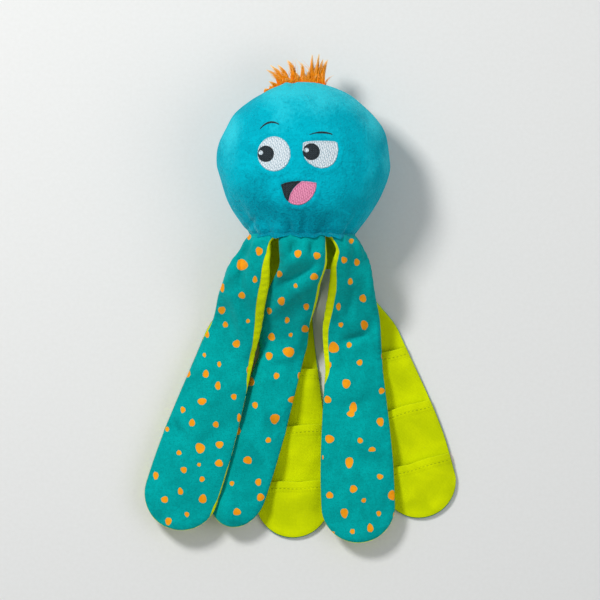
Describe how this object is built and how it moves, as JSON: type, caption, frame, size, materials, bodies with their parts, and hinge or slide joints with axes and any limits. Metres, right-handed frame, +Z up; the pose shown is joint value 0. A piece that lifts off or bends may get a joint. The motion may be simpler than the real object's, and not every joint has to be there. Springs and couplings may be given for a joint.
{
  "type": "plush octopus toy",
  "caption": "Stuffed plush octopus lying on its back, with a round embroidered head, a fur tuft and flat hinged legs that carry open treat pockets on their inner faces.",
  "frame": {"origin": "centre of the small flat face on which the back of the head rests on the table", "axes": "+Z up out of the face, +Y towards the crown and its tuft, +X to the right as the face is seen, legs along -Y"},
  "size_m": [0.2807, 0.4389, 0.1116],
  "materials": {
    "head_plush": "short pile velvet, turquoise",
    "leg_plush": "short pile plush, teal with orange dots",
    "lime_cotton": "plain weave, lime",
    "fibre_fill": "loose polyester fibre",
    "batting": "thin quilt batting",
    "bellows_plastic": "soft moulded",
    "reed_plastic": "moulded",
    "orange_fur": "long pile faux fur, paler at the tips",
    "pale_thread": "satin stitch embroidery",
    "dark_thread": "satin stitch embroidery",
    "pink_thread": "satin stitch embroidery"
  },
  "bodies": {
    "head": {"head_front_panel": "head_plush", "head_back_panel": "head_plush", "neck_disc": "head_plush", "stuffing_front": "fibre_fill", "stuffing_back": "fibre_fill", "squeaker_bulb": "bellows_plastic", "squeaker_reed": "reed_plastic", "hair_tuft": "orange_fur", "left_eye_white": "pale_thread", "left_pupil": "dark_thread", "left_eye_glint": "pale_thread", "right_eye_white": "pale_thread", "right_pupil": "dark_thread", "right_eye_glint": "pale_thread", "left_brow": "dark_thread", "right_brow": "dark_thread", "mouth": "dark_thread", "tongue": "pink_thread"},
    "front_middle_leg": {"front_middle_leg_outer": "leg_plush", "front_middle_leg_wadding": "batting", "front_middle_leg_lining": "lime_cotton", "front_middle_leg_pocket_upper": "lime_cotton", "front_middle_leg_pocket_middle": "lime_cotton", "front_middle_leg_pocket_lower": "lime_cotton"},
    "front_right_leg": {"front_right_leg_outer": "leg_plush", "front_right_leg_wadding": "batting", "front_right_leg_lining": "lime_cotton", "front_right_leg_pocket_upper": "lime_cotton", "front_right_leg_pocket_middle": "lime_cotton", "front_right_leg_pocket_lower": "lime_cotton"},
    "rear_right_leg": {"rear_right_leg_outer": "leg_plush", "rear_right_leg_wadding": "batting", "rear_right_leg_lining": "lime_cotton", "rear_right_leg_pocket_upper": "lime_cotton", "rear_right_leg_pocket_middle": "lime_cotton", "rear_right_leg_pocket_lower": "lime_cotton"},
    "rear_middle_leg": {"rear_middle_leg_outer": "leg_plush", "rear_middle_leg_wadding": "batting", "rear_middle_leg_lining": "lime_cotton", "rear_middle_leg_pocket_upper": "lime_cotton", "rear_middle_leg_pocket_middle": "lime_cotton", "rear_middle_leg_pocket_lower": "lime_cotton"},
    "rear_left_leg": {"rear_left_leg_outer": "leg_plush", "rear_left_leg_wadding": "batting", "rear_left_leg_lining": "lime_cotton", "rear_left_leg_pocket_upper": "lime_cotton", "rear_left_leg_pocket_middle": "lime_cotton", "rear_left_leg_pocket_lower": "lime_cotton"},
    "front_left_leg": {"front_left_leg_outer": "leg_plush", "front_left_leg_wadding": "batting", "front_left_leg_lining": "lime_cotton", "front_left_leg_pocket_upper": "lime_cotton", "front_left_leg_pocket_middle": "lime_cotton", "front_left_leg_pocket_lower": "lime_cotton"}
  },
  "joints": [
    {"name": "front_middle_leg_seam", "type": "hinge", "parent": "head", "child": "front_middle_leg", "pos_m": [0, -0.066, 0.09552], "axis": [-1, 0, 0], "range_deg": [0, 100]},
    {"name": "front_right_leg_seam", "type": "hinge", "parent": "head", "child": "front_right_leg", "pos_m": [0.04056, -0.066, 0.07501], "axis": [-0.5, 0, 0.866], "range_deg": [0, 100]},
    {"name": "rear_right_leg_seam", "type": "hinge", "parent": "head", "child": "rear_right_leg", "pos_m": [0.04056, -0.066, 0.03399], "axis": [0.5, 0, 0.866], "range_deg": [0, 90]},
    {"name": "rear_middle_leg_seam", "type": "hinge", "parent": "head", "child": "rear_middle_leg", "pos_m": [0, -0.066, 0.01348], "axis": [1, 0, 0], "range_deg": [0, 90]},
    {"name": "rear_left_leg_seam", "type": "hinge", "parent": "head", "child": "rear_left_leg", "pos_m": [-0.04056, -0.066, 0.03399], "axis": [0.5, 0, -0.866], "range_deg": [0, 90]},
    {"name": "front_left_leg_seam", "type": "hinge", "parent": "head", "child": "front_left_leg", "pos_m": [-0.04056, -0.066, 0.07501], "axis": [-0.5, 0, -0.866], "range_deg": [0, 100]}
  ]
}
